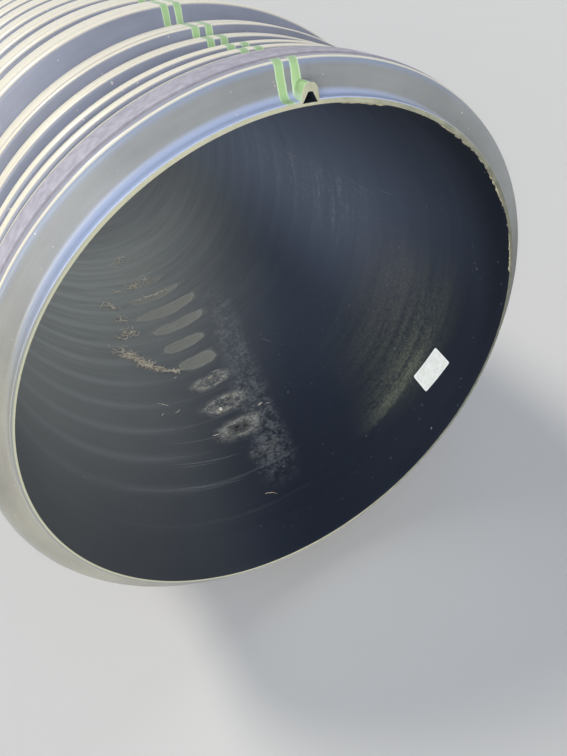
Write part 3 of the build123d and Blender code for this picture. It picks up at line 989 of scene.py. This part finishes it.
half_across, half_along, half_high = PEBBLE_HALVES
vertices, faces = [], []
for loop in range(PEBBLE_LOOPS + 1):
    climb = pi * loop / PEBBLE_LOOPS
    for spoke in range(PEBBLE_SPOKES):
        turn = 2 * pi * spoke / PEBBLE_SPOKES
        x, y, z = sin(climb) * cos(turn), sin(climb) * sin(turn), cos(climb)
        rough = 1 + PEBBLE_ROUGH * noise.noise((2 * x, 2 * y, 3 * z))
        aside = PEBBLE_ASIDE + half_across * rough * x
        ahead = PEBBLE_PLACE + half_along * rough * y
        vertices.append(on_liner(aside, ahead, PEBBLE_LIFT + half_high * z))
for loop in range(PEBBLE_LOOPS):
    for spoke in range(PEBBLE_SPOKES):
        after = (spoke + 1) % PEBBLE_SPOKES
        row = loop * PEBBLE_SPOKES
        beyond = row + PEBBLE_SPOKES
        faces.append((row + spoke, row + after, beyond + after, beyond + spoke))
loose_piece("pebble", vertices, faces, pebble_finish)


# The straw
# Wind laid a drift of chopped straw to the left of the silt, thickest at its near end, and single
# stalks all along. Each stalk is a thin bent blade with a raised middle and pointed ends.
STRAW_PALE = shade(250, 240, 222)
STRAW_BROWN = shade(172, 156, 136)
STRAW_DARK = shade(92, 78, 62)
STRAW_SEGMENTS = 4
STRAY_SPREAD = 100
STRAY_LIFT = 0.8 * MM
# Each run goes from one (arc in millimetres from the invert, depth in metres) to another, and has
# a spread in millimetres and a number of stalks.
STRAW_RUNS = (
    ((-213, 0.896), (-190, 0.872), 26, 50),
    ((-190, 0.872), (-172, 0.838), 20, 50),
    ((-176, 0.838), (-148, 0.798), 11, 60),
    ((-148, 0.798), (-108, 0.764), 6, 42),
    ((-108, 0.764), (-66, 0.742), 3, 20),
    ((-158, 0.835), (-128, 0.815), 9, 9),
    ((-170, 1.030), (-140, 1.010), 24, 30),
    ((-205, 1.000), (-180, 0.990), 12, 8),
    ((-160, 1.120), (-140, 1.100), 18, 18),
    ((-185, 1.240), (-150, 1.200), 22, 26),
    ((-75, 1.330), (20, 1.380), 24, 34),
    ((-120, 1.330), (-80, 1.330), 12, 10),
    ((-60, 1.560), (-20, 1.600), 22, 16),
    ((-88, 1.236), (90, 1.236), 6, 16),
    ((-230, 1.000), (60, 0.330), 160, 14),
)
rng = np.random.default_rng(11)

straw_finish, start = new_material("straw")
position = object_position(start)
base = position.clouds(70.0, 2.0).rise(0.48, 0.70).tint(STRAW_PALE, STRAW_BROWN)
base = (position.clouds(240.0, 2.0).rise(0.5, 0.75) * 0.7).tint(base, STRAW_DARK)
finish_material(start, base, 0.7, position.clouds(700.0, 2.0) * 0.2 * MM)

vertices, faces = [], []
for (from_aside, from_place), (to_aside, to_place), spread, count in STRAW_RUNS:
    for _ in range(count):
        share = rng.random()
        stray = rng.normal() * spread * 0.55
        aside = (from_aside + share * (to_aside - from_aside) + stray) * MM
        stray = rng.normal() * spread * 0.55
        place = from_place + share * (to_place - from_place) + stray * MM
        length = rng.uniform(9, 40) * MM
        width = rng.uniform(0.5, 1.4) * MM
        heading = rng.normal() * 1.3
        bend = rng.normal() * 0.5
        base_lift = rng.uniform(0.6, 5.0) * MM if spread < STRAY_SPREAD else STRAY_LIFT
        tip_rise = rng.uniform(-0.4, 0.8) * base_lift
        first = len(vertices)
        for step in range(STRAW_SEGMENTS + 1):
            share = step / STRAW_SEGMENTS
            way = heading + bend * (share - 0.5)
            centre_aside = aside + (share - 0.5) * length * cos(way)
            centre_place = place + (share - 0.5) * length * sin(way)
            lift = base_lift + tip_rise * share
            taper = width * (1 - 0.6 * abs(2 * share - 1) ** 3)
            for side, up in ((-0.9, 0), (0, 0.9), (0.9, 0)):
                edge_aside = centre_aside - side * taper * sin(way)
                edge_place = centre_place + side * taper * cos(way)
                vertices.append(on_liner(edge_aside, edge_place, lift + up * taper))
        for step in range(STRAW_SEGMENTS):
            row = first + 3 * step
            for i, j in ((0, 1), (1, 2), (2, 0)):
                faces.append((row + i, row + j, row + 3 + j, row + 3 + i))
        last = first + 3 * STRAW_SEGMENTS
        faces += [(first, first + 2, first + 1), (last, last + 1, last + 2)]
loose_piece("straw", vertices, faces, straw_finish)


# The saw's burr
# The saw left a ragged beige burr of curled shavings along the upper right of the lip's inner
# edge, still fast to the plastic, with one thicker tuft in it.
BURR_FROM, BURR_TO = radians(8), radians(84)
BURR_STEPS = 620
BURR_ROOT = 0.3 * MM
BURR_THIN = 0.12 * MM
TUFT_ANGLE = radians(71)
TUFT_SPAN = 0.012
TUFT_WIDTH = 4.5 * MM
BURR_BEIGE = shade(172, 170, 144)
BURR_DARK = shade(128, 120, 104)

burr_finish, start = new_material("saw_burr")
grain = object_position(start).clouds(180.0, 3.0)
finish_material(start, grain.rise(0.35, 0.65).tint(BURR_BEIGE, BURR_DARK), 0.7, grain * 0.3 * MM)

vertices, faces = [], []
for step in range(BURR_STEPS + 1):
    a = BURR_FROM + (BURR_TO - BURR_FROM) * step / BURR_STEPS
    arc = a * BORE_RADIUS
    coarse_wave = noise.noise((arc * 14, 0.3, 1.9))
    fine_wave = noise.noise((arc * 90, 5.1, 0.7)) + 0.5 * noise.noise((arc * 260, 2.2, 7.7))
    off_tuft = (a - TUFT_ANGLE) * BORE_RADIUS / TUFT_SPAN
    tuft = TUFT_WIDTH * float(np.exp(-(off_tuft**2))) * (0.6 + 0.4 * fine_wave)
    width = max(BURR_THIN, (0.6 + 3.4 * coarse_wave + 2.0 * fine_wave) * MM) + tuft
    curl = (1.6 + 1.8 * fine_wave) * MM
    for shares, start_place in (((0, 0.5, 1), 0.7 * MM), ((1, 0.5, 0), 0.2 * MM)):
        for share in shares:
            r = BORE_RADIUS + BURR_ROOT - width * share
            place = LIP_WAVE + start_place + curl * share**2
            vertices.append((r * cos(a), LIP + place, AXIS_HEIGHT + r * sin(a)))
for step in range(BURR_STEPS):
    row = 6 * step
    for i in range(6):
        j = (i + 1) % 6
        faces.append((row + i, row + 6 + i, row + 6 + j, row + j))
loose_piece("saw_burr", vertices, faces, burr_finish)


# The floor
# A pale and nearly even floor that the pipe lies on and casts its shadow on. It reaches thirty
# metres to every side, so that its edges lie far off.
FLOOR_SIZE = 60
FLOOR_PALE = shade(226, 226, 224)
FLOOR_MOTTLE = shade(214, 214, 212)

floor_finish, start = new_material("floor")
mottle = object_position(start).clouds(1.5, 2.0)
finish_material(start, (mottle * 0.25).tint(FLOOR_PALE, FLOOR_MOTTLE), 0.9)
half = FLOOR_SIZE / 2
floor_corners = [(-half, -half, 0), (half, -half, 0), (half, half, 0), (-half, half, 0)]
floor = new_piece("floor", floor_corners, [(0, 1, 2, 3)], [floor_finish])


# The light
# A soft high sun behind the pipe, a broad low one from the camera's left and a pale sky. A long
# lamp hangs inside the bore, for the daylight that comes in at both ends. It is not seen itself
# and leaves no mirror image on the plastic.
# Each sun has a name, a direction, a strength, a width in degrees and a colour
SUNS = (
    ("high_sun", (-0.35, 0.5, 0.8), 1.35, 16, (1.0, 0.94, 0.84)),
    ("left_fill", (-0.5, -0.82, 0.27), 3.45, 50, (1.0, 0.99, 0.97)),
)
BORE_LAMP_AT = (0.12, 0.0, AXIS_HEIGHT + 0.4)
BORE_LAMP_TILT = 20
BORE_LAMP_SIZE = (0.3, 5.7)
BORE_LAMP_WATTS = 18
BORE_LAMP_TINT = (0.95, 0.98, 1.0)
SKY_LOW = shade(244, 244, 240)
SKY_HIGH = shade(190, 208, 240)
SKY_STRENGTH = 0.32

world = bpy.data.worlds.new("sky")
bpy.context.scene.world = world
world.use_nodes = True
world.node_tree.nodes.clear()
start = Signal(world.node_tree)
direction = start.node("ShaderNodeTexCoord", {}, {}, "Generated")
climb = start.node("ShaderNodeSeparateXYZ", {}, {"Vector": direction}, "Z")
sky = climb.rise(0.0, 0.9).tint(SKY_LOW, SKY_HIGH)
rays = start.node("ShaderNodeLightPath", {}, {}, "Is Camera Ray")
mirrored = start.math("MAXIMUM", rays.other("Is Glossy Ray"), rays.other("Is Transmission Ray"))
seen = start.math("MAXIMUM", rays, mirrored)
strength = SKY_STRENGTH + seen * (1 - SKY_STRENGTH)
background = start.node("ShaderNodeBackground", {}, {"Color": sky, "Strength": strength})
start.node("ShaderNodeOutputWorld", {}, {"Surface": background})

for name, direction, strength, spread, tint in SUNS:
    sun_data = bpy.data.lights.new(name, "SUN")
    sun_data.energy = strength
    sun_data.angle = radians(spread)
    sun_data.color = tint
    sun = bpy.data.objects.new(name, sun_data)
    sun.rotation_euler = Vector(direction).to_track_quat("Z", "Y").to_euler()
    bpy.context.collection.objects.link(sun)

lamp_data = bpy.data.lights.new("bore_lamp", "AREA")
lamp_data.shape = "RECTANGLE"
lamp_data.size, lamp_data.size_y = BORE_LAMP_SIZE
lamp_data.energy = BORE_LAMP_WATTS
lamp_data.color = BORE_LAMP_TINT
lamp = bpy.data.objects.new("bore_lamp", lamp_data)
lamp.location = BORE_LAMP_AT
lamp.rotation_euler = (0, radians(BORE_LAMP_TILT), 0)
lamp.visible_camera = False
lamp.visible_glossy = False
bpy.context.collection.objects.link(lamp)


# The camera
# It stands where the photograph was taken: just left of the pipe and above its crown, turned down
# into the bore, with the lens that the outline of the lip and the rings give.
CAMERA_AT = (-0.29905, LIP - 0.59652, AXIS_HEIGHT + 0.65457)
CAMERA_TURN = (47.352, 6.554, -29.344)
CAMERA_LENS = 25.79
CAMERA_SENSOR = 36

camera_data = bpy.data.cameras.new("camera")
camera_data.sensor_width = CAMERA_SENSOR
camera_data.lens = CAMERA_LENS
camera = bpy.data.objects.new("camera", camera_data)
camera.location = CAMERA_AT
camera.rotation_euler = Euler([radians(turn) for turn in CAMERA_TURN])
bpy.context.collection.objects.link(camera)
bpy.context.scene.camera = camera
bpy.context.scene.view_settings.view_transform = "Standard"
